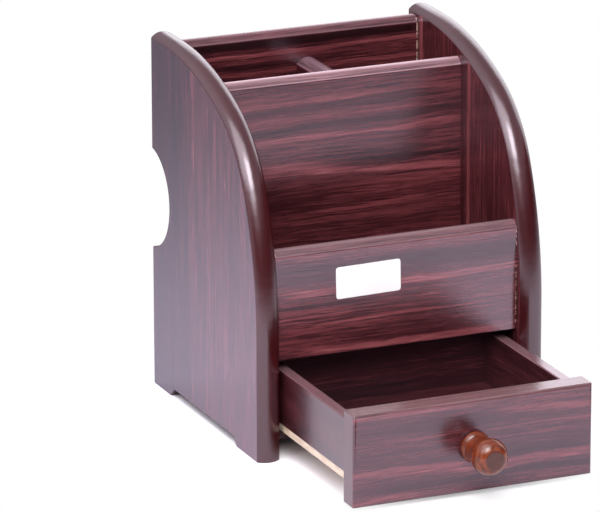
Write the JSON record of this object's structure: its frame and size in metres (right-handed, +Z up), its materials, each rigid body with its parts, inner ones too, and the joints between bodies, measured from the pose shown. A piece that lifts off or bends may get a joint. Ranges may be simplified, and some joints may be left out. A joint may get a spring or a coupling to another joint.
{
  "type": "pen stand with drawer",
  "caption": "Desk organizer in dark rosewood laminate: curved sides, pen pockets and a front slot in steps, above a small pull-out drawer with a turned knob.",
  "frame": {"origin": "on the table, half way across the width, and half way between the back edges of the sides and the tip of the knob, with the drawer pulled out as it is modelled", "axes": "+X to the right seen from the drawer's side, +Y from the knob to the back panel, +Z up"},
  "size_m": [0.154, 0.2448, 0.1854],
  "materials": {
    "side_laminate": "satin dark rosewood laminate with painted rounded edges",
    "partition_laminate": "satin dark rosewood laminate, grain across",
    "drawer_laminate": "satin dark rosewood laminate, grain across",
    "thin_ply": "thin ply, pale raw edge",
    "lacquered_knob": "glossy red-brown lacquer",
    "beech": "raw beech",
    "steel": "bright steel"
  },
  "bodies": {
    "cabinet": {"left_side_panel": "side_laminate", "right_side_panel": "side_laminate", "back_panel": "partition_laminate", "middle_panel": "partition_laminate", "front_panel": "partition_laminate", "pocket_divider": "partition_laminate", "compartment_floor": "partition_laminate", "base_board": "partition_laminate", "back_panel_dowels": "beech", "middle_panel_dowels": "beech", "front_panel_dowels": "beech", "compartment_floor_dowels": "beech", "base_board_dowels": "beech", "pocket_divider_dowels": "beech"},
    "drawer": {"drawer_front": "drawer_laminate", "drawer_left_side": "drawer_laminate", "drawer_right_side": "drawer_laminate", "drawer_back": "drawer_laminate", "drawer_bottom": "thin_ply", "drawer_front_dowels": "beech", "drawer_left_pins": "steel", "drawer_right_pins": "steel", "drawer_knob": "lacquered_knob", "knob_screw": "steel"}
  },
  "joints": [
    {"name": "drawer_slide", "type": "slide", "parent": "cabinet", "child": "drawer", "axis": [0, -1, 0], "range_m": [-0.09, 0.012]}
  ]
}
